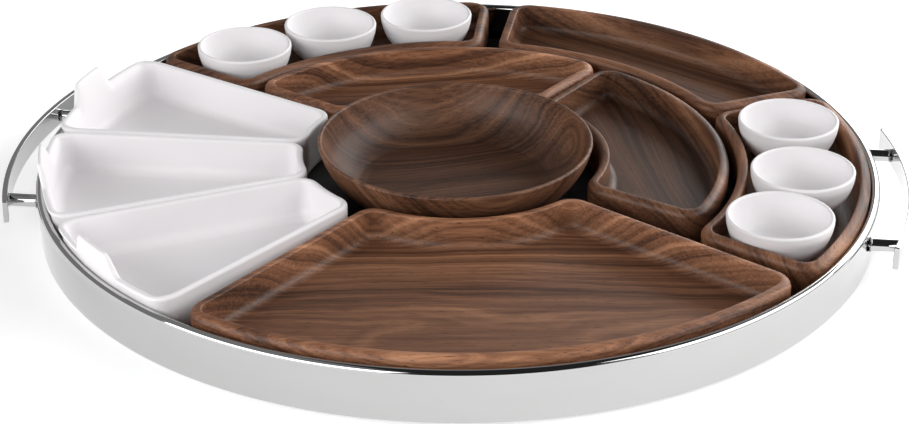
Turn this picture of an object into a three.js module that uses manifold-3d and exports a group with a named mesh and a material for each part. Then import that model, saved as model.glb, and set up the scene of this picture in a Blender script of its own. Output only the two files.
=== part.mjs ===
// Chip and dip server: a round polished steel pan with two bow handles. It holds a turned wooden bowl,
// six carved wooden trays, three porcelain wedge dishes and six porcelain dip bowls, which all lift out.
// Millimetres, +Z up. The origin is at the middle of the pan, on the surface that it stands on.
// The handles lie on the X axis. Angles are in degrees, anticlockwise from +X as seen from above.

import * as THREE from 'three';
import { mergeVertices } from 'three/addons/utils/BufferGeometryUtils.js';
import Module from 'manifold-3d';

const wasm = await Module();
wasm.setup();

// Pan
const rimRadius = 305;
const beadRadius = 3.3;
const bandTopRadius = 304.6;
const bandFootRadius = 303.8;
const bandHeight = 39;
const sheet = 1.4;
const bandCorner = 3.5;
const padThickness = 2.2;
const padRadius = 11;
const padCircle = 250;
const rimTop = padThickness + bandHeight;
const touchGap = 0.3;
const mergeWithin = 1e-4;

// Board on the pan's floor
const boardRadius = 295;
const boardThickness = 9.9;
const boardBottom = padThickness + sheet + touchGap;
const standHeight = boardBottom + boardThickness + touchGap;
const insideBand = boardRadius - 10;

// Handles
const gripOuterRadius = 329;
const gripThickness = 4;
const gripHeight = 16.5;
const gripHalfAngle = 17.5;
const gripEdge = 1;
const gripMiddle = rimTop - 12.9;
const postMiddle = rimTop - 15.3;
const postRadius = 4.7;
const postOffset = 73;
const screwRadius = 2.2;
const screwHoleRadius = 2.6;
const screwHeadRadius = 4.1;
const screwReach = 12;
const boreSpare = 1;

// Wooden trays
const woodTop = rimTop + 5;
const woodWall = 7.5;
const woodFloor = 10;
const woodCorner = 17;
const woodCove = 9;
const woodEdge = 2.5;
const trayOuterRadius = 297.9;
const frontTrayOuterRadius = 296;
const outerTrayBore = 203;
const innerTrayOuterRadius = 194;
const backInnerBore = 105;
const rightInnerBore = 100;
const frontTrayBore = 102.3;

// Angles of the trays' two sides. The two inner trays sit loose, a little off the middle.
const frontTraySides = [239.1, 326.2];
const rightOuterSides = [-31.6, 27];
const backRightOuterSides = [28.6, 87.6];
const backLeftOuterSides = [91.1, 150.2];
const backInnerSides = [59.8, 150.2];
const backInnerShift = [-2.1, 7.5];
const rightInnerSides = [-27, 61.3];
const rightInnerShift = [3, 2.5];

// Porcelain wedge dishes
const dishTop = rimTop + 7.8;
const dishWall = 5;
const dishFloor = 5;
const dishCorner = 14;
const dishCove = 8;
const dishEdge = 4;
const dishInnerRadius = 113;
const dishOuterRadius = 297.9;
const dishWidthAngle = 28;
const dishAngles = [166, 194.3, 222.9];
const tabTopWidth = 35;
const tabFootWidth = 54;
const tabLength = 23.5;
const tabLean = 8;
const tabSunk = 8;

// Turned bowl in the middle
const bowlRimRadius = 100.6;
const bowlCentre = [-2, -0.3];
const bowlTop = rimTop + 16.8;
const bowlWall = 4;
const bowlOutside = [[62, 0], [68, 3], [84, 15], [95, 30]];
const bowlInside = [[91, 30], [81, 16], [70, 9], [50, 7], [0, 6.5]];

// Dip bowls
const dipRimRadius = 37.4;
const dipTop = rimTop + 13.5;
const dipWall = 3.2;
const dipOutside = [[16, 0], [27, 5], [34, 14]];
const dipInside = [[31, 15], [24, 7], [0, 3.5]];
const dipCircle = 249.5;
const backDipAngles = [139.4, 121, 102.4];
const rightDipAngles = [15.9, -3.7, -21.5];

// Sides of the turned pieces, and degrees between the points of arcs
const panSides = 72;
const boardSides = 60;
const bowlSides = 48;
const dipSides = 20;
const postSides = 16;
const screwSides = 12;
const bandCornerStep = 30;
const sheetCornerStep = 45;
const beadStep = 36;
const ringStep = 3;
const gripStep = 3.5;

const steel = new THREE.MeshStandardMaterial({ color: 0xd8dadb, roughness: 0.12, metalness: 1 });
const walnut = new THREE.MeshStandardMaterial({ color: 0x6e4631, roughness: 0.5, metalness: 0 });
const porcelain = new THREE.MeshStandardMaterial({ color: 0xf1eef0, roughness: 0.35, metalness: 0 });
const blackBoard = new THREE.MeshStandardMaterial({ color: 0x121211, roughness: 0.6, metalness: 0 });
const rubber = new THREE.MeshStandardMaterial({ color: 0x1c1c1c, roughness: 0.9, metalness: 0 });

const server = new THREE.Group();

function radians(degrees) {
  return degrees * Math.PI / 180;
}

function polar(radius, angle) {
  return new THREE.Vector2(radius * Math.cos(angle), radius * Math.sin(angle));
}

// Points along an arc, both ends included, no further apart than maxStep degrees.
function arc(centre, radius, from, to, maxStep) {
  const steps = Math.max(1, Math.ceil(Math.abs(to - from) / radians(maxStep) - 1e-6));
  const points = [];
  for (let i = 0; i <= steps; i += 1) {
    points.push(polar(radius, from + (to - from) * i / steps).add(centre));
  }
  return points;
}

function addPart(name, geometry, material) {
  const mesh = new THREE.Mesh(geometry, material);
  mesh.name = name;
  server.add(mesh);
  return mesh;
}

// Solids from geometries, and back
function toSolid(geometry) {
  const bare = geometry.clone();
  bare.deleteAttribute('normal');
  bare.deleteAttribute('uv');
  const merged = mergeVertices(bare, mergeWithin);
  return new wasm.Manifold(new wasm.Mesh({
    numProp: 3,
    vertProperties: new Float32Array(merged.attributes.position.array),
    triVerts: new Uint32Array(merged.index.array),
  }));
}

function toGeometry(solid) {
  const mesh = solid.getMesh();
  const geometry = new THREE.BufferGeometry();
  geometry.setAttribute('position', new THREE.BufferAttribute(new Float32Array(mesh.vertProperties), 3));
  geometry.setIndex(new THREE.BufferAttribute(new Uint32Array(mesh.triVerts), 1));
  geometry.computeVertexNormals();
  return geometry;
}

// A lathe turned about +Z from a profile of [radius, height] points
function turned(profile, segments) {
  const points = profile.map(([radius, height]) => new THREE.Vector2(radius, height));
  return new THREE.LatheGeometry(points, segments).rotateX(Math.PI / 2);
}

// A prism on an outline, with its top and bottom edges rounded
function prism(outline, bottom, height, edge = 0, edgeSteps = 2) {
  const geometry = new THREE.ExtrudeGeometry(new THREE.Shape(outline), {
    depth: height - 2 * edge,
    bevelEnabled: edge > 0,
    bevelThickness: edge,
    bevelSize: edge,
    bevelOffset: -edge,
    bevelSegments: edgeSteps,
  });
  return geometry.translate(0, 0, bottom + edge);
}

// Outline of a piece of a ring with rounded corners. Its straight sides run parallel to the radii at
// the two side angles, and inset moves the whole outline inwards.
function ringPiece(innerRadius, outerRadius, sides, corner, inset = 0) {
  const inner = innerRadius + inset;
  const outer = outerRadius - inset;
  const round = corner - inset;
  const start = radians(sides[0]);
  const end = radians(sides[1]);
  const outerTurn = Math.asin((inset + round) / (outer - round));
  const innerTurn = Math.asin((inset + round) / (inner + round));
  const origin = new THREE.Vector2();
  const quarter = Math.PI / 2;
  const cornerStep = 30;
  const wallStep = 7.5;
  const cornerArc = (radius, angle, from, to) => arc(polar(radius, angle), round, from, to, cornerStep);
  const wallArc = (radius, from, to) => arc(origin, radius, from, to, wallStep).slice(1, -1);
  return [
    ...cornerArc(outer - round, start + outerTurn, start - quarter, start + outerTurn),
    ...wallArc(outer, start + outerTurn, end - outerTurn),
    ...cornerArc(outer - round, end - outerTurn, end - outerTurn, end + quarter),
    ...cornerArc(inner + round, end - innerTurn, end + quarter, end - innerTurn + 2 * quarter),
    ...wallArc(inner, end - innerTurn, start + innerTurn),
    ...cornerArc(inner + round, start + innerTurn, start + innerTurn + 2 * quarter, start + 3 * quarter),
  ];
}

// A carved or cast dish: a prism with a rounded foot, hollowed from the top
function hollowDish(outlineAt, bottom, top, wall, floor, cove, edge) {
  const body = toSolid(prism(outlineAt(0), bottom, top - bottom, edge));
  const depth = top - bottom - floor;
  const hollow = toSolid(prism(outlineAt(wall), bottom + floor, depth + 2 * cove, cove));
  return body.subtract(hollow);
}

function addWoodTray(name, innerRadius, outerRadius, sides, shift = [0, 0]) {
  const outlineAt = (inset) => ringPiece(innerRadius, outerRadius, sides, woodCorner, inset);
  const solid = hollowDish(outlineAt, standHeight, woodTop, woodWall, woodFloor, woodCove, woodEdge);
  addPart(name, toGeometry(solid), walnut).position.set(shift[0], shift[1], 0);
}

// Pan: band with a wired bead along its top, and a flat floor
function panProfile() {
  const beadCentre = new THREE.Vector2(rimRadius - beadRadius, rimTop - beadRadius);
  const footCentre = new THREE.Vector2(bandFootRadius - bandCorner, padThickness + bandCorner);
  const outerMeet = -Math.acos((bandTopRadius - beadCentre.x) / beadRadius);
  const innerMeet = Math.acos((bandTopRadius - sheet - beadCentre.x) / beadRadius);
  const corners = [
    ...arc(footCentre, bandCorner, -Math.PI / 2, 0, bandCornerStep),
    ...arc(beadCentre, beadRadius, outerMeet, 2 * Math.PI - innerMeet, beadStep),
    ...arc(footCentre, bandCorner - sheet, 0, -Math.PI / 2, sheetCornerStep),
  ];
  return [[0, padThickness], ...corners.map((point) => [point.x, point.y]), [0, padThickness + sheet]];
}

// A bar along +X, used for the posts, the screws and their holes
function barAlongX(radius, from, to, offset, segments) {
  const geometry = new THREE.CylinderGeometry(radius, radius, to - from, segments);
  return geometry.rotateZ(Math.PI / 2).translate((from + to) / 2, offset, postMiddle);
}

// A full ring between two radii, taller than the pan
function ringSolid(innerRadius, outerRadius) {
  const circle = (radius) => arc(new THREE.Vector2(), radius, 0, 2 * Math.PI, ringStep).slice(0, -1);
  const outline = new THREE.Shape(circle(outerRadius));
  outline.holes.push(new THREE.Path(circle(innerRadius)));
  return toSolid(new THREE.ExtrudeGeometry(outline, { depth: 2 * rimTop, bevelEnabled: false }));
}

function addPan() {
  let pan = toSolid(turned(panProfile(), panSides));
  for (const turn of [0, Math.PI]) {
    for (const offset of [-postOffset, postOffset]) {
      const hole = barAlongX(screwHoleRadius, insideBand, rimRadius, offset, screwSides);
      pan = pan.subtract(toSolid(hole.rotateZ(turn)));
    }
  }
  addPart('tray_pan', toGeometry(pan), steel);
}

function addBoard() {
  const profile = [
    [0, boardBottom],
    [boardRadius, boardBottom],
    [boardRadius, boardBottom + boardThickness],
    [0, boardBottom + boardThickness],
  ];
  addPart('base_board', turned(profile, boardSides), blackBoard);
}

function addPads() {
  const places = { front: 270, back: 90, left: 180, right: 0 };
  const top = padThickness - touchGap;
  const profile = [[0, 0], [padRadius, 0], [padRadius, top], [0, top]];
  for (const [name, angle] of Object.entries(places)) {
    const place = polar(padCircle, radians(angle));
    addPart(`foot_pad_${name}`, turned(profile, postSides), rubber).position.set(place.x, place.y, 0);
  }
}

function gripOutline() {
  const half = radians(gripHalfAngle);
  const origin = new THREE.Vector2();
  return [
    ...arc(origin, gripOuterRadius, -half, half, gripStep),
    ...arc(origin, gripOuterRadius - gripThickness, half, -half, gripStep),
  ];
}

// One handle on the +X side, turned round for the other side. Each post is bored for its screw, whose
// low head bears on the inside of the band.
function addHandle(side, turn) {
  const gripBack = gripOuterRadius - gripThickness - touchGap;
  const postRoom = ringSolid(bandTopRadius + touchGap, gripBack);
  const screwRoom = ringSolid(trayOuterRadius + touchGap, gripBack);
  const headRoom = ringSolid(trayOuterRadius + touchGap, bandFootRadius - sheet);
  const grip = prism(gripOutline(), gripMiddle - gripHeight / 2, gripHeight, gripEdge, 1);
  addPart(`${side}_grip`, grip, steel).rotation.z = turn;
  for (const [name, offset] of Object.entries({ front: -postOffset, back: postOffset })) {
    const y = turn === 0 ? offset : -offset;
    const bandX = Math.sqrt(bandTopRadius ** 2 - y ** 2);
    const post = toSolid(barAlongX(postRadius, insideBand, gripOuterRadius, y, postSides));
    const boreEnd = bandX + screwReach + boreSpare;
    const bore = toSolid(barAlongX(screwHoleRadius, insideBand, boreEnd, y, screwSides));
    addPart(`${side}_${name}_post`, toGeometry(post.intersect(postRoom).subtract(bore)), steel)
      .rotation.z = turn;
    const shank = toSolid(barAlongX(screwRadius, insideBand, bandX + screwReach, y, screwSides));
    const head = toSolid(barAlongX(screwHeadRadius, insideBand, rimRadius, y, postSides));
    const screw = shank.intersect(screwRoom).add(head.intersect(headRoom));
    addPart(`${side}_${name}_screw`, toGeometry(screw), steel).rotation.z = turn;
  }
}

// Wedge dish with a leaning tab on the middle of its outer wall
function addWedgeDish(name, middle) {
  const sides = [-dishWidthAngle / 2, dishWidthAngle / 2];
  const outlineAt = (inset) => ringPiece(dishInnerRadius, dishOuterRadius, sides, dishCorner, inset);
  const dish = hollowDish(outlineAt, standHeight, dishTop, dishWall, dishFloor, dishCove, dishEdge);
  const tabOutline = [
    new THREE.Vector2(-tabFootWidth / 2, 0),
    new THREE.Vector2(tabFootWidth / 2, 0),
    new THREE.Vector2(tabTopWidth / 2, tabLength),
    new THREE.Vector2(-tabTopWidth / 2, tabLength),
  ];
  const tabOptions = { depth: dishWall, bevelEnabled: false };
  const tab = new THREE.ExtrudeGeometry(new THREE.Shape(tabOutline), tabOptions);
  tab.rotateX(Math.PI / 2);
  tab.rotateZ(-Math.PI / 2);
  tab.rotateY(radians(tabLean));
  tab.translate(dishOuterRadius - dishWall, 0, dishTop - tabSunk);
  addPart(name, toGeometry(dish.add(toSolid(tab))), porcelain).rotation.z = radians(middle);
}

function bowlProfile(outside, rimAt, wall, height, inside) {
  return [[0, 0], ...outside, [rimAt, height], [rimAt - wall, height], ...inside];
}

function addCentreBowl() {
  const profile = bowlProfile(bowlOutside, bowlRimRadius, bowlWall, bowlTop - standHeight, bowlInside);
  const bowl = addPart('centre_bowl', turned(profile, bowlSides), walnut);
  bowl.position.set(bowlCentre[0], bowlCentre[1], standHeight);
}

function addDipBowl(name, angle) {
  const bottom = standHeight + woodFloor + touchGap;
  const profile = bowlProfile(dipOutside, dipRimRadius, dipWall, dipTop - bottom, dipInside);
  const place = polar(dipCircle, radians(angle));
  addPart(name, turned(profile, dipSides), porcelain).position.set(place.x, place.y, bottom);
}

addPan();
addBoard();
addPads();
addHandle('right', 0);
addHandle('left', Math.PI);
addWoodTray('front_tray', frontTrayBore, frontTrayOuterRadius, frontTraySides);
addWoodTray('back_inner_tray', backInnerBore, innerTrayOuterRadius, backInnerSides, backInnerShift);
addWoodTray('right_inner_tray', rightInnerBore, innerTrayOuterRadius, rightInnerSides, rightInnerShift);
addWoodTray('back_left_outer_tray', outerTrayBore, trayOuterRadius, backLeftOuterSides);
addWoodTray('back_right_outer_tray', outerTrayBore, trayOuterRadius, backRightOuterSides);
addWoodTray('right_outer_tray', outerTrayBore, trayOuterRadius, rightOuterSides);
addWedgeDish('wedge_dish_back', dishAngles[0]);
addWedgeDish('wedge_dish_middle', dishAngles[1]);
addWedgeDish('wedge_dish_front', dishAngles[2]);
addCentreBowl();
backDipAngles.forEach((angle, i) => addDipBowl(`back_dip_bowl_${i + 1}`, angle));
rightDipAngles.forEach((angle, i) => addDipBowl(`right_dip_bowl_${i + 1}`, angle));

export default server;
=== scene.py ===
"""Looks of the chip and dip server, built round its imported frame."""

import math

import bmesh
import bpy
from mathutils import Matrix, Vector


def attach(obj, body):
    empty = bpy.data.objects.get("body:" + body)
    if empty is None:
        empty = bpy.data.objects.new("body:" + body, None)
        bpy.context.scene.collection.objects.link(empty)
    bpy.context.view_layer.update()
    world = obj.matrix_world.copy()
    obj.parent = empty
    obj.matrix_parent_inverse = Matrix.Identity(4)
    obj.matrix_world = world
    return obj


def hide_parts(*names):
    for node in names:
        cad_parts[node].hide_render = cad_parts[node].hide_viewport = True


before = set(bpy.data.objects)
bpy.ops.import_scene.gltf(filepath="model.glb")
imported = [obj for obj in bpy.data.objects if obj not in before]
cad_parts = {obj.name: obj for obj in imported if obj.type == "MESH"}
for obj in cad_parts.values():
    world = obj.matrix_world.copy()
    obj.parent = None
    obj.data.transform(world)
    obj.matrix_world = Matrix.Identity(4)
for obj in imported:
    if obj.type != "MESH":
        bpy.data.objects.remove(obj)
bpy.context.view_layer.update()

# Sizes are in millimetres and degrees, as in the CAD. Meshes are in metres.
MM = 0.001
TOUCH_GAP = 0.3

# Fineness of the surfaces
CORNER_STEPS = 8
SIDE_STEPS = 10
TIGHTEST_CORNER = 0.2
LEVEL_STEP = 2.5
SAME_POINT = 1e-6

# Pan
RIM_RADIUS = 305.0
RIM_TOP = 41.2
BEAD_RADIUS = 3.3
BAND_TOP_RADIUS = 304.6
BAND_FOOT_RADIUS = 303.8
BAND_CORNER = 3.5
SHEET = 1.4
PAN_BOTTOM = 2.2
FLAT_RADIUS = 280.0

# Board on the pan's floor
BOARD_RADIUS = 295.0
BOARD_BOTTOM = 3.9
BOARD_TOP = 13.8
BOARD_EDGE = 1.0
STAND = 14.1

# Handles
GRIP_OUTER = 329.0
GRIP_THICKNESS = 4.0
GRIP_HEIGHT = 16.5
GRIP_HALF_ANGLE = 17.5
GRIP_EDGE = 0.7
# What a chamfered end keeps of the bar's thickness and height, and how far along the first step it runs
GRIP_END_KEEPS = (0.80, 0.80, 0.93)
GRIP_END_SHARE = 0.14
GRIP_MIDDLE = RIM_TOP - 12.9
POST_MIDDLE = RIM_TOP - 15.3
POST_RADIUS = 4.7
POST_OFFSET = 73.0
POST_SUNK = 0.4
POST_REACH = 0.6
POST_START = 6.0
POST_FINISH = 2.0
# (step out from the rod, distance along it) of the collar against the band
POST_COLLAR = [(0.7, 0.0), (0.7, 1.2), (0.4, 1.5), (0.0, 1.7)]

# Wooden trays
WOOD_TOP = RIM_TOP + 5.0
WOOD_WALL = 7.5
WOOD_FLOOR = 10.0
WOOD_CORNER = 17.0
WOOD_COVE = 6.5
WOOD_FOOT = 4.0
WOOD_OUTER_EDGE = 5.0
WOOD_INNER_EDGE = 1.3
# Painted shade: the share of its colour that the walnut keeps down on the floors of the hollows
PAINTED_FLOOR_SHADE = 0.62
TRAY_OUTER = 297.9
TRAYS = {
    "front_tray": dict(inner=102.3, outer=296.0, sides=(239.1, 326.2), shift=(0, 0)),
    "back_inner_tray": dict(inner=105.0, outer=194.0, sides=(59.8, 150.2), shift=(-2.1, 7.5)),
    "right_inner_tray": dict(inner=100.0, outer=194.0, sides=(-27.0, 61.3), shift=(3, 2.5)),
    "back_left_outer_tray": dict(inner=203.0, outer=TRAY_OUTER, sides=(91.1, 150.2), shift=(0, 0)),
    "back_right_outer_tray": dict(inner=203.0, outer=TRAY_OUTER, sides=(28.6, 87.6), shift=(0, 0)),
    "right_outer_tray": dict(inner=203.0, outer=TRAY_OUTER, sides=(-31.6, 27.0), shift=(0, 0)),
}

# Porcelain wedge dishes
DISH_TOP = RIM_TOP + 7.8
DISH_WALL = 5.0
DISH_FLOOR = 5.0
DISH_CORNER = 14.0
DISH_COVE = 8.0
DISH_FOOT = 5.0
DISH_OUTER_EDGE = 2.6
DISH_INNER_EDGE = 2.2
DISH_INNER = 113.0
DISH_OUTER = 297.9
DISH_FLARE = 3.0
FLARE_START = RIM_TOP + 0.3
DISH_HALF_WIDTH = 14.0
DISH_ANGLES = {"wedge_dish_back": 166.0, "wedge_dish_middle": 194.3, "wedge_dish_front": 222.9}
TAB_TOP_HALF = 16.0
TAB_FOOT_HALF = 27.0
TAB_RISE = 15.3
TAB_LEAN = 8.0
TAB_ROOT = 13.0
TAB_BLEND = 3.0
TAB_SPARE = 4.0
LEAN_AT_ROOT = 0.55
TAB_TURNS = {"wedge_dish_back": 1.2}

# Turned bowl in the middle
BOWL_TOP = RIM_TOP + 16.8
BOWL_CENTRE = (-2.0, -0.3)
BOWL_OUTSIDE = [(60, 0), (66, 1.5), (78, 8), (89, 19), (96.8, 32), (100.2, 42.5)]
BOWL_INSIDE = [
    (97.0, 42.8), (95.2, 34), (91, 23.5), (82.5, 14), (73, 8.6), (67, 7.2), (60, 6.8), (36, 6.6),
]

# Dip bowls
DIP_TOP = RIM_TOP + 13.5
DIP_CIRCLE = 249.5
DIP_OUTSIDE = [(15, 0), (19.5, 0.8), (27, 4.6), (33, 12.5), (36.4, 22), (37.3, 27.4)]
DIP_INSIDE = [(34.3, 27.6), (33.2, 22), (29.6, 13.4), (23, 7), (12, 4.2), (5, 3.8)]
DIP_ANGLES = {
    "back_dip_bowl_1": 139.4,
    "back_dip_bowl_2": 121.0,
    "back_dip_bowl_3": 102.4,
    "right_dip_bowl_1": 15.9,
    "right_dip_bowl_2": -3.7,
    "right_dip_bowl_3": -21.5,
}


# ---------------------------------------------------------------- shapes

def arc(centre, radius, start, end, steps):
    """Points along an arc, both ends included. Angles in radians."""
    points = []
    for i in range(steps + 1):
        angle = start + (end - start) * i / steps
        points.append((centre[0] + radius * math.cos(angle), centre[1] + radius * math.sin(angle)))
    return points


def polar(radius, angle):
    return radius * math.cos(angle), radius * math.sin(angle)


def in_metres(radius, angle, height):
    """A point in metres, from a radius and a height in millimetres."""
    x, y = polar(radius, angle)
    return x * MM, y * MM, height * MM


def smooth_line(points, steps):
    """A Catmull-Rom line through all the points."""
    line = []
    last = len(points) - 1
    for i in range(last):
        p0 = points[max(i - 1, 0)]
        p1 = points[i]
        p2 = points[i + 1]
        p3 = points[min(i + 2, last)]
        for k in range(steps):
            t = k / steps
            line.append(tuple(
                0.5 * (2 * b + (c - a) * t + (2 * a - 5 * b + 4 * c - d) * t ** 2
                       + (3 * b - a - 3 * c + d) * t ** 3)
                for a, b, c, d in zip(p0, p1, p2, p3)
            ))
    line.append(tuple(points[-1]))
    return line


def ring_piece(inner, outer, sides, corner, inset, wall_steps):
    """Outline of a piece of a ring with rounded corners, the same number of points at any inset."""
    r_in = inner + inset
    r_out = outer - inset
    rounding = max(corner - inset, TIGHTEST_CORNER)
    start, end = math.radians(sides[0]), math.radians(sides[1])
    outer_turn = math.asin((inset + rounding) / (r_out - rounding))
    inner_turn = math.asin((inset + rounding) / (r_in + rounding))
    quarter = math.pi / 2

    def corner_arc(radius, angle, first, last):
        return arc(polar(radius, angle), rounding, first, last, CORNER_STEPS)

    points = corner_arc(r_out - rounding, start + outer_turn, start - quarter, start + outer_turn)
    points += arc((0, 0), r_out, start + outer_turn, end - outer_turn, wall_steps)[1:-1]
    points += corner_arc(r_out - rounding, end - outer_turn, end - outer_turn, end + quarter)
    inner_end = end - inner_turn
    inner_corner = corner_arc(r_in + rounding, inner_end, end + quarter, inner_end + 2 * quarter)
    points += between(points[-1], inner_corner[0], SIDE_STEPS)
    points += inner_corner
    points += arc((0, 0), r_in, end - inner_turn, start + inner_turn, wall_steps)[1:-1]
    points += corner_arc(r_in + rounding, start + inner_turn, start + inner_turn + 2 * quarter,
                         start + 3 * quarter)
    points += between(points[-1], points[0], SIDE_STEPS)
    return points


def between(first, last, steps):
    """Points along a straight line, ends left out."""
    return [
        (first[0] + (last[0] - first[0]) * i / steps, first[1] + (last[1] - first[1]) * i / steps)
        for i in range(1, steps)
    ]


def quarter_round(size, steps):
    """(inwards, up) pairs round a quarter circle, from upright to level."""
    return [
        (size - size * math.cos(math.pi / 2 * i / steps), size * math.sin(math.pi / 2 * i / steps))
        for i in range(steps + 1)
    ]


def dish_sections(bottom, top, wall, floor, cove, foot, outer_edge, inner_edge):
    """(inset, height) pairs from the middle of the underside, up, over the lip and down to the floor."""
    sections = []
    for inwards, up in reversed(quarter_round(foot, 5)):
        sections.append((inwards, bottom + foot - up))
    for inwards, up in quarter_round(outer_edge, 7):
        sections.append((inwards, top - outer_edge + up))
    for inwards, up in reversed(quarter_round(inner_edge, 4)):
        sections.append((wall - inwards, top - inner_edge + up))
    for inwards, up in quarter_round(cove, 8):
        sections.append((wall + inwards, floor + cove - up))
    return sections


def mesh_object(name, bm, material):
    bmesh.ops.remove_doubles(bm, verts=bm.verts, dist=SAME_POINT)
    bmesh.ops.recalc_face_normals(bm, faces=bm.faces)
    for face in bm.faces:
        face.smooth = True
    mesh = bpy.data.meshes.new(name)
    bm.to_mesh(mesh)
    bm.free()
    obj = bpy.data.objects.new(name, mesh)
    bpy.context.scene.collection.objects.link(obj)
    mesh.materials.append(material)
    return obj


def weight_normals(obj):
    weighted = obj.modifiers.new("weighted", "WEIGHTED_NORMAL")
    weighted.keep_sharp = True
    return obj


def loft(name, rings, material):
    """Joins rings of equal length. A cap closes each end."""
    bm = bmesh.new()
    levels = [[bm.verts.new(point) for point in ring] for ring in rings]
    for lower, upper in zip(levels, levels[1:]):
        for i in range(len(lower)):
            k = (i + 1) % len(lower)
            bm.faces.new((lower[i], lower[k], upper[k], upper[i]))
    bm.faces.new(list(reversed(levels[0])))
    bm.faces.new(levels[-1])
    return weight_normals(mesh_object(name, bm, material))


def lathe(name, profile, segments, material, centre=(0, 0)):
    """Turns (radius, height) points in millimetres about an upright axis. A zero radius is a pole."""
    bm = bmesh.new()
    levels = []
    for radius, height in profile:
        if radius < SAME_POINT:
            levels.append([bm.verts.new((centre[0] * MM, centre[1] * MM, height * MM))])
            continue
        level = []
        for i in range(segments):
            x, y = polar(radius, 2 * math.pi * i / segments)
            level.append(bm.verts.new(((centre[0] + x) * MM, (centre[1] + y) * MM, height * MM)))
        levels.append(level)
    for lower, upper in zip(levels, levels[1:]):
        for i in range(segments):
            k = (i + 1) % segments
            corners = [(lower, i), (lower, k), (upper, k), (upper, i)]
            quad = [level[index % len(level)] for level, index in corners]
            bm.faces.new(list(dict.fromkeys(quad)))
    return weight_normals(mesh_object(name, bm, material))


def place(obj, body, slot, *nodes):
    """Fixes a piece to its body, in place of the CAD nodes that it shows."""
    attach(obj, body)
    if nodes:
        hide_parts(*nodes)


# ---------------------------------------------------------------- materials

class Graph:
    """Short names for building one material's nodes."""

    def __init__(self, name):
        self.material = bpy.data.materials.new(name)
        self.material.use_nodes = True
        self.tree = self.material.node_tree
        self.shader = self.tree.nodes["Principled BSDF"]

    def link(self, source, target):
        self.tree.links.new(source, target)

    def put(self, socket, value):
        if isinstance(value, bpy.types.NodeSocket):
            self.link(value, socket)
        else:
            socket.default_value = value

    def node(self, kind, **options):
        node = self.tree.nodes.new(kind)
        for key, value in options.items():
            setattr(node, key, value)
        return node

    def coords(self):
        return self.node("ShaderNodeTexCoord").outputs["Object"]

    def mapping(self, vector, location=(0, 0, 0), rotation=(0, 0, 0), scale=(1, 1, 1)):
        node = self.node("ShaderNodeMapping")
        self.link(vector, node.inputs["Vector"])
        node.inputs["Location"].default_value = location
        node.inputs["Rotation"].default_value = rotation
        node.inputs["Scale"].default_value = scale
        return node.outputs["Vector"]

    def noise(self, vector, scale, detail=2.0, roughness=0.5, distortion=0.0):
        node = self.node("ShaderNodeTexNoise")
        self.link(vector, node.inputs["Vector"])
        node.inputs["Scale"].default_value = scale
        node.inputs["Detail"].default_value = detail
        node.inputs["Roughness"].default_value = roughness
        node.inputs["Distortion"].default_value = distortion
        return node.outputs["Fac"]

    def noise_line(self, value, scale, detail=2.0, roughness=0.5):
        node = self.node("ShaderNodeTexNoise", noise_dimensions="1D")
        self.link(value, node.inputs["W"])
        node.inputs["Scale"].default_value = scale
        node.inputs["Detail"].default_value = detail
        node.inputs["Roughness"].default_value = roughness
        return node.outputs["Fac"]

    def math(self, operation, a, b=0.0, c=0.0):
        node = self.node("ShaderNodeMath", operation=operation)
        self.put(node.inputs[0], a)
        self.put(node.inputs[1], b)
        if len(node.inputs) > 2:
            self.put(node.inputs[2], c)
        return node.outputs[0]

    def height(self, coords):
        node = self.node("ShaderNodeSeparateXYZ")
        self.link(coords, node.inputs[0])
        return node.outputs["Z"]

    def grey(self, value):
        node = self.node("ShaderNodeCombineColor")
        for channel in node.inputs:
            self.link(value, channel)
        return node.outputs["Color"]

    def spread(self, value, low, high, to_low=0.0, to_high=1.0):
        node = self.node("ShaderNodeMapRange", interpolation_type="SMOOTHSTEP")
        self.link(value, node.inputs["Value"])
        node.inputs["From Min"].default_value = low
        node.inputs["From Max"].default_value = high
        node.inputs["To Min"].default_value = to_low
        node.inputs["To Max"].default_value = to_high
        return node.outputs["Result"]

    def ramp(self, value, stops):
        node = self.node("ShaderNodeValToRGB")
        self.link(value, node.inputs["Fac"])
        elements = node.color_ramp.elements
        while len(elements) < len(stops):
            elements.new(0.5)
        for element, (position, colour) in zip(elements, stops):
            element.position = position
            element.color = (*colour, 1.0)
        return node.outputs["Color"]

    def mix(self, factor, a, b, blend="MIX"):
        node = self.node("ShaderNodeMix", data_type="RGBA", blend_type=blend)
        self.put(node.inputs[0], factor)
        self.put(node.inputs[6], a if isinstance(a, bpy.types.NodeSocket) else (*a, 1.0))
        self.put(node.inputs[7], b if isinstance(b, bpy.types.NodeSocket) else (*b, 1.0))
        return node.outputs[2]

    def bump(self, height, strength, distance):
        node = self.node("ShaderNodeBump")
        self.link(height, node.inputs["Height"])
        node.inputs["Strength"].default_value = strength
        node.inputs["Distance"].default_value = distance
        self.link(node.outputs["Normal"], self.shader.inputs["Normal"])

    def set(self, **values):
        for key, value in values.items():
            self.put(self.shader.inputs[key.replace("_", " ")], value)


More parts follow.
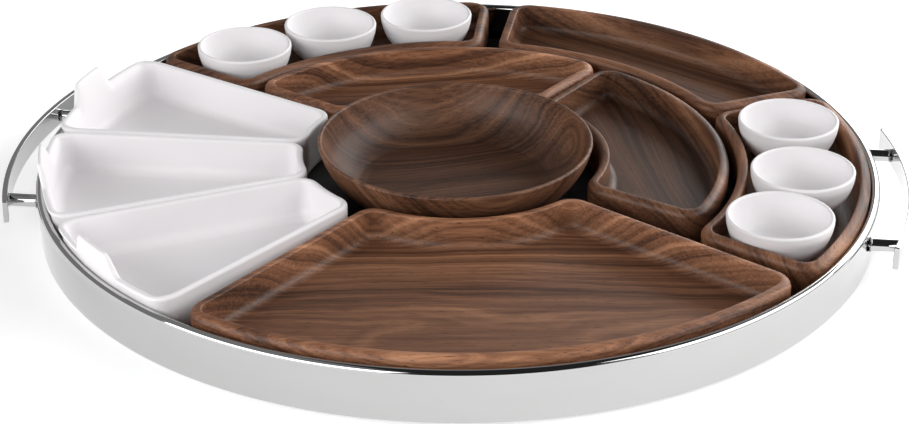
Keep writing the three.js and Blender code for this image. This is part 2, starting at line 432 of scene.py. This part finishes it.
def walnut(name, grain_angle, seed, heart, warp, tone):
    """Oiled walnut, darkened towards the floors of its hollows by painted shade. The grain runs along
    grain_angle, and heart is where the tree's middle was, across the grain and below it, in metres."""
    g = Graph(name)
    coords = g.coords()
    turned = g.mapping(coords, location=(seed * 1.7, 0, 0), rotation=(0, 0, -math.radians(grain_angle)))
    wander = g.noise(g.mapping(turned, location=(seed * 3.1, seed, 0), scale=(3.0, 9.0, 9.0)), 1.0, 2.0)
    ripple = g.noise(g.mapping(turned, location=(seed, 7.0, 0), scale=(16.0, 30.0, 30.0)), 1.0, 3.0)
    split = g.node("ShaderNodeSeparateXYZ")
    g.link(turned, split.inputs[0])
    across = g.math("SUBTRACT", split.outputs["Y"], heart[0])
    below = g.math("SUBTRACT", split.outputs["Z"], heart[1])
    squares = g.math("MULTIPLY_ADD", across, across, g.math("MULTIPLY", below, below))
    radius = g.math("SQRT", squares)
    radius = g.math("MULTIPLY_ADD", g.math("SUBTRACT", wander, 0.5), warp * 4.0, radius)
    radius = g.math("MULTIPLY_ADD", g.math("SUBTRACT", ripple, 0.5), warp * 0.55, radius)
    bands = g.noise_line(radius, 60.0, 3.0, 0.62)
    lines = g.noise_line(radius, 330.0, 3.0, 0.6)
    patches = g.noise(g.mapping(turned, location=(0, seed, 3.0), scale=(3.0, 12.0, 12.0)), 1.0, 2.0)
    fibre = g.noise(g.mapping(turned, location=(seed, 0, 0), scale=(14.0, 520.0, 520.0)), 1.0, 4.0, 0.6)
    pores = g.noise(g.mapping(turned, scale=(90.0, 1500.0, 1500.0)), 1.0, 2.0, 0.5)
    figure = g.math("MULTIPLY_ADD", g.math("SUBTRACT", lines, 0.5), 0.50, bands)
    figure = g.math("MULTIPLY_ADD", g.math("SUBTRACT", patches, 0.5), 0.40, figure)
    figure = g.math("MULTIPLY_ADD", g.math("SUBTRACT", fibre, 0.5), 0.52, figure)
    colour = g.ramp(figure, [
        (0.22, (0.036, 0.014, 0.007)),
        (0.37, (0.098, 0.040, 0.020)),
        (0.50, (0.180, 0.077, 0.039)),
        (0.63, (0.262, 0.118, 0.060)),
        (0.80, (0.400, 0.195, 0.105)),
    ])
    colour = g.mix(g.spread(pores, 0.60, 0.74), colour, (0.035, 0.017, 0.011))
    # Painted shade: the colour darkens from the lip down to the floor, standing in for shade in the
    # hollows; each piece's tone is multiplied in
    painted_shade_and_tone = g.spread(g.height(coords), (STAND + WOOD_FLOOR) * MM, WOOD_TOP * MM, PAINTED_FLOOR_SHADE, 1.0)
    painted_shade_and_tone = g.math("MULTIPLY", painted_shade_and_tone, tone)
    toned = g.mix(1.0, colour, g.grey(painted_shade_and_tone), "MULTIPLY")
    g.link(toned, g.shader.inputs["Base Color"])
    g.link(g.spread(fibre, 0.25, 0.75, 0.42, 0.56), g.shader.inputs["Roughness"])
    g.set(Specular_IOR_Level=0.38)
    g.bump(g.math("MULTIPLY_ADD", pores, -0.5, fibre), 0.35, 0.00025)
    return g.material


def polished_steel(name):
    g = Graph(name)
    coords = g.coords()
    haze = g.noise(g.mapping(coords, scale=(9.0, 9.0, 30.0)), 1.0, 4.0, 0.6)
    fine = g.noise(coords, 2400.0, 2.0, 0.5)
    g.link(g.mix(haze, (0.535, 0.535, 0.533), (0.57, 0.57, 0.568)), g.shader.inputs["Base Color"])
    g.link(g.spread(haze, 0.2, 0.8, 0.04, 0.0675), g.shader.inputs["Roughness"])
    g.set(Metallic=1.0)
    g.bump(fine, 0.02, 0.00002)
    return g.material


def porcelain(name):
    g = Graph(name)
    coords = g.coords()
    cloud = g.noise(coords, 18.0, 3.0, 0.5)
    speck = g.noise(coords, 900.0, 2.0, 0.5)
    orange_peel = g.noise(coords, 260.0, 2.0, 0.5)
    colour = g.mix(cloud, (0.850, 0.828, 0.842), (0.880, 0.860, 0.873))
    colour = g.mix(g.spread(speck, 0.70, 0.80, 0.0, 0.25), colour, (0.70, 0.68, 0.67))
    g.link(colour, g.shader.inputs["Base Color"])
    g.link(g.spread(cloud, 0.3, 0.7, 0.42, 0.52), g.shader.inputs["Roughness"])
    g.set(Specular_IOR_Level=0.45)
    g.bump(orange_peel, 0.06, 0.0002)
    return g.material


def black_board(name):
    g = Graph(name)
    coords = g.coords()
    grain = g.noise(coords, 700.0, 3.0, 0.6)
    smudge = g.noise(coords, 14.0, 3.0, 0.6)
    g.link(g.mix(grain, (0.005, 0.005, 0.0045), (0.011, 0.011, 0.010)), g.shader.inputs["Base Color"])
    g.link(g.spread(smudge, 0.3, 0.7, 0.5, 0.68), g.shader.inputs["Roughness"])
    g.bump(grain, 0.2, 0.0002)
    return g.material


def rubber(name):
    g = Graph(name)
    grain = g.noise(g.coords(), 1600.0, 3.0, 0.6)
    g.link(g.mix(grain, (0.014, 0.014, 0.014), (0.028, 0.028, 0.027)), g.shader.inputs["Base Color"])
    g.link(g.spread(grain, 0.3, 0.7, 0.75, 0.9), g.shader.inputs["Roughness"])
    g.bump(grain, 0.3, 0.0002)
    return g.material


STEEL = polished_steel("polished_steel")
PORCELAIN = porcelain("porcelain")
BOARD = black_board("black_board")
RUBBER = rubber("pad_rubber")


# ---------------------------------------------------------------- pieces

def build_pan():
    floor_top = PAN_BOTTOM + SHEET
    bead_centre = (RIM_RADIUS - BEAD_RADIUS, RIM_TOP - BEAD_RADIUS)
    outer_meet = -math.acos((BAND_TOP_RADIUS - bead_centre[0]) / BEAD_RADIUS)
    inner_meet = 2 * math.pi - math.acos((BAND_TOP_RADIUS - SHEET - bead_centre[0]) / BEAD_RADIUS)
    bead = arc(bead_centre, BEAD_RADIUS, outer_meet, inner_meet, 28)
    foot = (BAND_FOOT_RADIUS - BAND_CORNER, PAN_BOTTOM + BAND_CORNER)
    profile = [(0, PAN_BOTTOM), (FLAT_RADIUS, PAN_BOTTOM)]
    profile += arc(foot, BAND_CORNER, -math.pi / 2, 0, 8)
    profile += between(profile[-1], bead[0], 7)
    profile += bead
    profile += arc(foot, BAND_CORNER - SHEET, 0, -math.pi / 2, 6)
    profile += [(FLAT_RADIUS, floor_top), (0, floor_top)]
    pan = lathe("pan", profile, 360, STEEL)
    place(pan, "pan", "polished_steel", "tray_pan")


def build_board():
    profile = [(0, BOARD_BOTTOM), (BOARD_RADIUS - BOARD_EDGE, BOARD_BOTTOM)]
    profile += [(BOARD_RADIUS, BOARD_BOTTOM + BOARD_EDGE)]
    profile += arc((BOARD_RADIUS - BOARD_EDGE, BOARD_TOP - BOARD_EDGE), BOARD_EDGE, 0, math.pi / 2, 3)
    profile += [(0, BOARD_TOP)]
    board = lathe("board", profile, 180, BOARD)
    place(board, "pan", "black_board", "base_board")


def chamfered_end(ring, inside):
    """The face of a cut end, drawn in for a chamfer, and the full section just behind it."""
    centre = [sum(point[axis] for point in ring) / len(ring) for axis in range(3)]
    face = [
        tuple(c + (value - c) * keeps for c, value, keeps in zip(centre, point, GRIP_END_KEEPS))
        for point in ring
    ]
    behind = [
        tuple(a + (b - a) * GRIP_END_SHARE for a, b in zip(point, next_point))
        for point, next_point in zip(ring, inside)
    ]
    return face, behind


def build_grip(side, turn):
    """A flat bar bent to an arc, with small rounded edges."""
    left = GRIP_OUTER - GRIP_THICKNESS + GRIP_EDGE
    right = GRIP_OUTER - GRIP_EDGE
    low = GRIP_MIDDLE - GRIP_HEIGHT / 2 + GRIP_EDGE
    high = GRIP_MIDDLE + GRIP_HEIGHT / 2 - GRIP_EDGE
    quarter = math.pi / 2
    section = []
    for corner, first in (((right, low), -1), ((right, high), 0), ((left, high), 1), ((left, low), 2)):
        section += arc(corner, GRIP_EDGE, first * quarter, (first + 1) * quarter, 3)
    steps = 60
    half = math.radians(GRIP_HALF_ANGLE)
    rings = []
    for i in range(steps + 1):
        angle = turn - half + 2 * half * i / steps
        rings.append([in_metres(radius, angle, z) for radius, z in section])
    first_face, first_behind = chamfered_end(rings[0], rings[1])
    last_face, last_behind = chamfered_end(rings[-1], rings[-2])
    rings = [first_face, first_behind, *rings[1:-1], last_behind, last_face]
    grip = loft(f"{side}_handle_grip", rings, STEEL)
    place(grip, "pan", "polished_steel", f"{side}_grip")


def build_post(side, where, offset, turn):
    """A rod from the band to the grip, with a small collar against the band."""
    start = math.sqrt((BAND_TOP_RADIUS - POST_SUNK) ** 2 - offset ** 2)
    end = math.sqrt((GRIP_OUTER - GRIP_THICKNESS) ** 2 - offset ** 2) + POST_REACH
    profile = [(POST_RADIUS + step, start + along) for step, along in POST_COLLAR]
    profile += [(POST_RADIUS, start + POST_START), (POST_RADIUS, end - POST_FINISH), (POST_RADIUS, end)]
    segments = 48
    rings = []
    for radius, x in profile:
        ring = []
        for i in range(segments):
            angle = 2 * math.pi * i / segments
            y = offset + radius * math.cos(angle)
            z = POST_MIDDLE + radius * math.sin(angle)
            ring.append((
                (x * math.cos(turn) - y * math.sin(turn)) * MM,
                (x * math.sin(turn) + y * math.cos(turn)) * MM,
                z * MM,
            ))
        rings.append(ring)
    post = loft(f"{side}_{where}_handle_post", rings, STEEL)
    place(post, "pan", "polished_steel", f"{side}_{where}_post")


def build_tray(name, inner, outer, sides, shift, material):
    sections = dish_sections(
        bottom=STAND, top=WOOD_TOP, wall=WOOD_WALL, floor=STAND + WOOD_FLOOR, cove=WOOD_COVE,
        foot=WOOD_FOOT, outer_edge=WOOD_OUTER_EDGE, inner_edge=WOOD_INNER_EDGE,
    )
    rings = []
    for inset, height in sections:
        outline = ring_piece(inner, outer, sides, WOOD_CORNER, inset, 48)
        rings.append([((x + shift[0]) * MM, (y + shift[1]) * MM, height * MM) for x, y in outline])
    tray = loft(f"{name}_wood", rings, material)
    place(tray, name, "walnut", name)


def tab_share(distance):
    """How far the tab has risen at a distance from its middle, with a rounded top and a flared foot."""
    return 1 - smooth_step((abs(distance) - TAB_TOP_HALF) / (TAB_FOOT_HALF - TAB_TOP_HALF))


def smooth_step(value):
    value = min(max(value, 0.0), 1.0)
    return value * value * (3 - 2 * value)


def dish_levels():
    """The wedge dish's sections, with more levels up the walls so that the tab bends smoothly."""
    sections = dish_sections(
        bottom=STAND, top=DISH_TOP, wall=DISH_WALL, floor=STAND + DISH_FLOOR, cove=DISH_COVE,
        foot=DISH_FOOT, outer_edge=DISH_OUTER_EDGE, inner_edge=DISH_INNER_EDGE,
    )
    levels = []
    for (inset, height), (next_inset, next_height) in zip(sections, sections[1:]):
        steps = int(abs(next_height - height) // LEVEL_STEP) + 1
        for i in range(steps):
            share = i / steps
            levels.append((inset + (next_inset - inset) * share, height + (next_height - height) * share))
    return levels + [sections[-1]]


def raise_tab(radius, angle, height, tab_turn):
    """Lifts and leans a point of the outer wall for the tab, and flares the wall near its top."""
    wall_from = DISH_OUTER - DISH_WALL - TAB_SPARE
    if radius <= wall_from:
        return radius, height
    reach = min(max((height - (DISH_TOP - TAB_ROOT)) / TAB_ROOT, 0.0), 1.0)
    near = min(max((radius - wall_from) / TAB_BLEND, 0.0), 1.0)
    rise = TAB_RISE * tab_share((angle - tab_turn) * DISH_OUTER) * near * reach
    lean = math.tan(math.radians(TAB_LEAN)) * (LEAN_AT_ROOT + (1 - LEAN_AT_ROOT) * reach)
    flare = DISH_FLARE * smooth_step((height - FLARE_START) / (DISH_TOP - FLARE_START)) * near
    return radius + rise * lean + flare, height + rise


def build_wedge_dish(name, middle):
    sides = (-DISH_HALF_WIDTH, DISH_HALF_WIDTH)
    turn = math.radians(middle)
    tab_turn = math.radians(TAB_TURNS.get(name, 0.0))
    rings = []
    for inset, height in dish_levels():
        ring = []
        for x, y in ring_piece(DISH_INNER, DISH_OUTER, sides, DISH_CORNER, inset, 72):
            angle = math.atan2(y, x)
            radius, z = raise_tab(math.hypot(x, y), angle, height, tab_turn)
            ring.append(in_metres(radius, angle + turn, z))
        rings.append(ring)
    dish = loft(f"{name}_porcelain", rings, PORCELAIN)
    place(dish, name, "porcelain", name)


def rounded_lip(outer, inner, top, steps=8):
    """Half round from the outside of a lip, over its top, to its inside."""
    middle = (outer[0] + inner[0]) / 2
    half = (outer[0] - inner[0]) / 2
    return [
        (middle + half * math.cos(math.pi * i / steps), top - half + half * math.sin(math.pi * i / steps))
        for i in range(steps + 1)
    ]


def bowl_profile(outside, inside, bottom, top):
    lip = rounded_lip(outside[-1], inside[0], top - bottom)
    line = smooth_line(outside[:-1] + [lip[0]], 7)[:-1] + lip + smooth_line([lip[-1]] + inside[1:], 7)[1:]
    line = [(0, 0)] + line + [(0, inside[-1][1])]
    return [(radius, bottom + height) for radius, height in line]


def build_bowls(bowl_wood):
    profile = bowl_profile(BOWL_OUTSIDE, BOWL_INSIDE, STAND, BOWL_TOP)
    bowl = lathe("centre_bowl_wood", profile, 200, bowl_wood, BOWL_CENTRE)
    place(bowl, "centre_bowl", "walnut", "centre_bowl")
    bottom = STAND + WOOD_FLOOR + TOUCH_GAP
    for name, angle in DIP_ANGLES.items():
        profile = bowl_profile(DIP_OUTSIDE, DIP_INSIDE, bottom, DIP_TOP)
        centre = polar(DIP_CIRCLE, math.radians(angle))
        bowl = lathe(f"{name}_porcelain", profile, 96, PORCELAIN, centre)
        place(bowl, name, "porcelain", name)


build_pan()
build_board()
for side, turn in (("right", 0.0), ("left", math.pi)):
    build_grip(side, turn)
    for where, offset in (("front", -POST_OFFSET), ("back", POST_OFFSET)):
        build_post(side, where, offset if side == "right" else -offset, turn)

# Each piece of walnut has its own grain and tone.
WOODS = {
    "front_tray": dict(grain_angle=8.0, seed=1.3, heart=(-0.235, -0.05), warp=0.011, tone=1.35),
    "back_inner_tray": dict(grain_angle=12.0, seed=4.1, heart=(0.10, -0.06), warp=0.013, tone=1.45),
    "right_inner_tray": dict(grain_angle=107.0, seed=6.4, heart=(-0.02, -0.12), warp=0.007, tone=0.75),
    "back_left_outer_tray": dict(grain_angle=30.0, seed=8.2, heart=(0.1, -0.1), warp=0.008, tone=0.9),
    "back_right_outer_tray": dict(grain_angle=148.0, seed=9.9, heart=(-0.1, -0.1), warp=0.008, tone=0.95),
    "right_outer_tray": dict(grain_angle=88.0, seed=12.5, heart=(-0.1, -0.1), warp=0.008, tone=1.0),
    "centre_bowl": dict(grain_angle=22.0, seed=15.1, heart=(0.010, 0.036), warp=0.010, tone=0.70),
}
for tray_name, sizes in TRAYS.items():
    build_tray(tray_name, material=walnut(f"walnut_{tray_name}", **WOODS[tray_name]), **sizes)
for dish_name, middle in DISH_ANGLES.items():
    build_wedge_dish(dish_name, middle)
build_bowls(walnut("walnut_centre_bowl", **WOODS["centre_bowl"]))

for node_name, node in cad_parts.items():
    if "screw" in node_name:
        node.data.materials.clear()
        node.data.materials.append(STEEL)
    if "foot_pad" in node_name:
        node.data.materials.clear()
        node.data.materials.append(RUBBER)


# ---------------------------------------------------------------- camera, floor and light

CAMERA_HEIGHT = 0.780
CAMERA_AWAY = 1.5427
CAMERA_SIDE = math.radians(-83.7)
CAMERA_PITCH = math.radians(26.906)
CAMERA_ROLL = math.radians(0.1)
CAMERA_LENS = 91.95
SENSOR_WIDTH = 36.0
FLOOR_HALF_SIZE = 30.0

camera_data = bpy.data.cameras.new("camera")
camera_data.lens = CAMERA_LENS
camera_data.sensor_width = SENSOR_WIDTH
camera = bpy.data.objects.new("camera", camera_data)
bpy.context.scene.collection.objects.link(camera)
outwards = Vector((math.cos(CAMERA_SIDE), math.sin(CAMERA_SIDE), 0))
forward = -outwards * math.cos(CAMERA_PITCH) - Vector((0, 0, math.sin(CAMERA_PITCH)))
right = forward.cross(Vector((0, 0, 1))).normalized()
up = right.cross(forward)
rolled_right = right * math.cos(CAMERA_ROLL) + up * math.sin(CAMERA_ROLL)
rolled_up = up * math.cos(CAMERA_ROLL) - right * math.sin(CAMERA_ROLL)
axes = Matrix((rolled_right, rolled_up, -forward)).transposed().to_4x4()
axes.translation = outwards * CAMERA_AWAY + Vector((0, 0, CAMERA_HEIGHT))
camera.matrix_world = axes
bpy.context.scene.camera = camera
bpy.context.scene.view_settings.view_transform = "Standard"

floor_graph = Graph("floor_white")
floor_cloud = floor_graph.noise(floor_graph.coords(), 3.0, 2.0)
floor_graph.link(floor_graph.mix(floor_cloud, (0.93, 0.93, 0.93), (0.95, 0.95, 0.95)),
                 floor_graph.shader.inputs["Base Color"])
floor_graph.set(Roughness=0.9, Emission_Color=(1, 1, 1, 1), Emission_Strength=0.40)
floor_bm = bmesh.new()
bmesh.ops.create_grid(floor_bm, x_segments=1, y_segments=1, size=FLOOR_HALF_SIZE)
floor = mesh_object("floor", floor_bm, floor_graph.material)

LIGHT_DISTANCE = 2.4


def softbox(name, azimuth, elevation, size, power):
    """A rectangular soft light that faces the object. Its azimuth is measured from the camera's side."""
    data = bpy.data.lights.new(name, "AREA")
    data.shape = "RECTANGLE"
    data.size, data.size_y = size
    data.energy = power
    light = bpy.data.objects.new(name, data)
    bpy.context.scene.collection.objects.link(light)
    around = CAMERA_SIDE + math.radians(azimuth)
    tilt = math.radians(elevation)
    level_x, level_y = polar(math.cos(tilt), around)
    towards = Vector((level_x, level_y, math.sin(tilt)))
    light.location = towards * LIGHT_DISTANCE
    light.rotation_euler = towards.to_track_quat("Z", "Y").to_euler()


softbox("front_left_softbox", azimuth=-45, elevation=22, size=(2.6, 1.2), power=40)
softbox("right_softbox", azimuth=78, elevation=33, size=(2.6, 1.5), power=40)
softbox("back_softbox", azimuth=138, elevation=22, size=(2.2, 1.1), power=36)


STUDIO_GREY = (0.26, 0.26, 0.263, 1)
GAP_GREY = (0.025, 0.025, 0.025, 1)
SIDE_GLOW = (0.85, 0.85, 0.85, 1)
GAP_TILT = math.radians(57)


def build_world():
    """A grey studio, pale low down at both sides, with a dark gap over the camera and overhead."""
    world = bpy.data.worlds.new("studio")
    bpy.context.scene.world = world
    world.use_nodes = True
    tree = world.node_tree
    background = tree.nodes["Background"]

    def node(kind, **options):
        made = tree.nodes.new(kind)
        for key, value in options.items():
            setattr(made, key, value)
        return made

    def dot(direction):
        made = node("ShaderNodeVectorMath", operation="DOT_PRODUCT")
        tree.links.new(coords.outputs["Generated"], made.inputs[0])
        made.inputs[1].default_value = direction
        return made.outputs["Value"]

    def step(value, low, high, to_low, to_high):
        made = node("ShaderNodeMapRange", interpolation_type="SMOOTHSTEP")
        tree.links.new(value, made.inputs["Value"])
        made.inputs["From Min"].default_value = low
        made.inputs["From Max"].default_value = high
        made.inputs["To Min"].default_value = to_low
        made.inputs["To Max"].default_value = to_high
        return made.outputs["Result"]

    def times(a, b):
        made = node("ShaderNodeMath", operation="MULTIPLY")
        tree.links.new(a, made.inputs[0])
        tree.links.new(b, made.inputs[1])
        return made.outputs[0]

    def absolute(value):
        made = node("ShaderNodeMath", operation="ABSOLUTE")
        tree.links.new(value, made.inputs[0])
        return made.outputs[0]

    def blend(share, colour, over):
        """A colour laid over another colour, which is fixed or comes from a node."""
        made = node("ShaderNodeMix", data_type="RGBA")
        tree.links.new(share, made.inputs[0])
        if isinstance(over, bpy.types.NodeSocket):
            tree.links.new(over, made.inputs[6])
        else:
            made.inputs[6].default_value = over
        made.inputs[7].default_value = colour
        return made.outputs[2]

    coords = node("ShaderNodeTexCoord")
    away = Vector((-outwards.x, -outwards.y, 0))
    sideways = dot(tuple(right))
    upwards = dot((0, 0, 1))
    behind = dot(tuple(away * math.sin(GAP_TILT) - Vector((0, 0, math.cos(GAP_TILT)))))
    gap = times(step(sideways, -0.30, -0.18, 0.0, 1.0), step(sideways, 0.50, 0.64, 1.0, 0.0))
    gap = times(gap, step(behind, -0.05, 0.02, 1.0, 0.0))
    gap = times(gap, step(upwards, -0.01, 0.02, 0.0, 1.0))
    glow = times(step(upwards, 0.0, 0.16, 1.0, 0.0), step(absolute(sideways), 0.30, 0.60, 0.0, 1.0))
    lit = blend(glow, SIDE_GLOW, over=blend(gap, GAP_GREY, over=STUDIO_GREY))
    tree.links.new(lit, background.inputs["Color"])


build_world()
